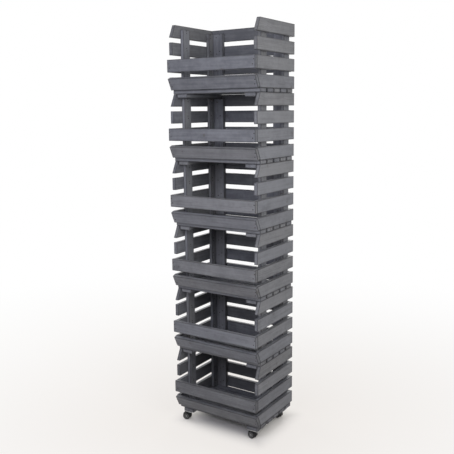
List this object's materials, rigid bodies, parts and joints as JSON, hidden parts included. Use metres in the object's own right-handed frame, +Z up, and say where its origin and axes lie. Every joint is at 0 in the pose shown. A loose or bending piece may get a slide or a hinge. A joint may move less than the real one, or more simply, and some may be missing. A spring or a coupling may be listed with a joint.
{
  "type": "rolling vegetable rack",
  "caption": "Tall rolling rack for vegetables: dark stained slatted crates stacked on each other, open at the front above two boards, on small twin-wheel swivel casters.",
  "frame": {"origin": "on the floor, at the middle of the rack's bounding box", "axes": "+Z up, the open front of the crates faces -Y, +X is to the right of someone facing the front from outside"},
  "size_m": [0.4, 0.3056, 1.6476],
  "materials": {
    "stained_timber": "satin anthracite stain",
    "black_plastic": "moulded, slightly glossy",
    "zinc_plate": "zinc plated",
    "steel_pin": "bright drawn steel"
  },
  "bodies": {
    "bottom_crate": {"tier_1_left_side": "stained_timber", "tier_1_right_side": "stained_timber", "tier_1_back_panel": "stained_timber", "tier_1_floor_panel": "stained_timber", "tier_1_front_board_upper": "stained_timber", "tier_1_front_board_lower": "stained_timber", "caster_front_left_plate": "zinc_plate", "caster_front_left_kingpin": "steel_pin", "caster_front_right_plate": "zinc_plate", "caster_front_right_kingpin": "steel_pin", "caster_rear_left_plate": "zinc_plate", "caster_rear_left_kingpin": "steel_pin", "caster_rear_right_plate": "zinc_plate", "caster_rear_right_kingpin": "steel_pin"},
    "crate_2": {"tier_2_left_side": "stained_timber", "tier_2_right_side": "stained_timber", "tier_2_back_panel": "stained_timber", "tier_2_floor_panel": "stained_timber", "tier_2_front_board_upper": "stained_timber", "tier_2_front_board_lower": "stained_timber"},
    "crate_3": {"tier_3_left_side": "stained_timber", "tier_3_right_side": "stained_timber", "tier_3_back_panel": "stained_timber", "tier_3_floor_panel": "stained_timber", "tier_3_front_board_upper": "stained_timber", "tier_3_front_board_lower": "stained_timber"},
    "crate_4": {"tier_4_left_side": "stained_timber", "tier_4_right_side": "stained_timber", "tier_4_back_panel": "stained_timber", "tier_4_floor_panel": "stained_timber", "tier_4_front_board_upper": "stained_timber", "tier_4_front_board_lower": "stained_timber"},
    "crate_5": {"tier_5_left_side": "stained_timber", "tier_5_right_side": "stained_timber", "tier_5_back_panel": "stained_timber", "tier_5_floor_panel": "stained_timber", "tier_5_front_board_upper": "stained_timber", "tier_5_front_board_lower": "stained_timber"},
    "crate_6": {"tier_6_left_side": "stained_timber", "tier_6_right_side": "stained_timber", "tier_6_back_panel": "stained_timber", "tier_6_floor_panel": "stained_timber", "tier_6_front_board_upper": "stained_timber", "tier_6_front_board_lower": "stained_timber"},
    "swivel_front_left": {"caster_front_left_hood": "black_plastic"},
    "wheels_front_left": {"caster_front_left_axle": "steel_pin", "caster_front_left_wheel_1": "black_plastic", "caster_front_left_wheel_2": "black_plastic"},
    "swivel_front_right": {"caster_front_right_hood": "black_plastic"},
    "wheels_front_right": {"caster_front_right_axle": "steel_pin", "caster_front_right_wheel_1": "black_plastic", "caster_front_right_wheel_2": "black_plastic"},
    "swivel_rear_left": {"caster_rear_left_hood": "black_plastic"},
    "wheels_rear_left": {"caster_rear_left_axle": "steel_pin", "caster_rear_left_wheel_1": "black_plastic", "caster_rear_left_wheel_2": "black_plastic"},
    "swivel_rear_right": {"caster_rear_right_hood": "black_plastic"},
    "wheels_rear_right": {"caster_rear_right_axle": "steel_pin", "caster_rear_right_wheel_1": "black_plastic", "caster_rear_right_wheel_2": "black_plastic"}
  },
  "joints": [
    {"name": "crate_2_lift", "type": "slide", "parent": "bottom_crate", "child": "crate_2", "axis": [0, 0, 1], "range_m": [0, 0.04]},
    {"name": "crate_3_lift", "type": "slide", "parent": "crate_2", "child": "crate_3", "axis": [0, 0, 1], "range_m": [0, 0.04]},
    {"name": "crate_4_lift", "type": "slide", "parent": "crate_3", "child": "crate_4", "axis": [0, 0, 1], "range_m": [0, 0.04]},
    {"name": "crate_5_lift", "type": "slide", "parent": "crate_4", "child": "crate_5", "axis": [0, 0, 1], "range_m": [0, 0.04]},
    {"name": "crate_6_lift", "type": "slide", "parent": "crate_5", "child": "crate_6", "axis": [0, 0, 1], "range_m": [0, 0.04]},
    {"name": "swivel_front_left_turn", "type": "hinge", "parent": "bottom_crate", "child": "swivel_front_left", "pos_m": [-0.164, -0.09575, 0.0356], "axis": [0, 0, 1], "continuous": true},
    {"name": "wheels_front_left_roll", "type": "hinge", "parent": "swivel_front_left", "child": "wheels_front_left", "pos_m": [-0.17816, -0.09889, 0.016], "axis": [0.2164, -0.9763, 0], "continuous": true},
    {"name": "swivel_front_right_turn", "type": "hinge", "parent": "bottom_crate", "child": "swivel_front_right", "pos_m": [0.164, -0.09575, 0.0356], "axis": [0, 0, 1], "continuous": true},
    {"name": "wheels_front_right_roll", "type": "hinge", "parent": "swivel_front_right", "child": "wheels_front_right", "pos_m": [0.14955, -0.09449, 0.016], "axis": [-0.0872, -0.9962, 0], "continuous": true},
    {"name": "swivel_rear_left_turn", "type": "hinge", "parent": "bottom_crate", "child": "swivel_rear_left", "pos_m": [-0.164, 0.11725, 0.0356], "axis": [0, 0, 1], "continuous": true},
    {"name": "wheels_rear_left_roll", "type": "hinge", "parent": "swivel_rear_left", "child": "wheels_rear_left", "pos_m": [-0.17714, 0.11112, 0.016], "axis": [0.4226, -0.9063, 0], "continuous": true},
    {"name": "swivel_rear_right_turn", "type": "hinge", "parent": "bottom_crate", "child": "swivel_rear_right", "pos_m": [0.164, 0.11725, 0.0356], "axis": [0, 0, 1], "continuous": true},
    {"name": "wheels_rear_right_roll", "type": "hinge", "parent": "swivel_rear_right", "child": "wheels_rear_right", "pos_m": [0.14987, 0.12051, 0.016], "axis": [-0.225, -0.9744, 0], "continuous": true}
  ]
}
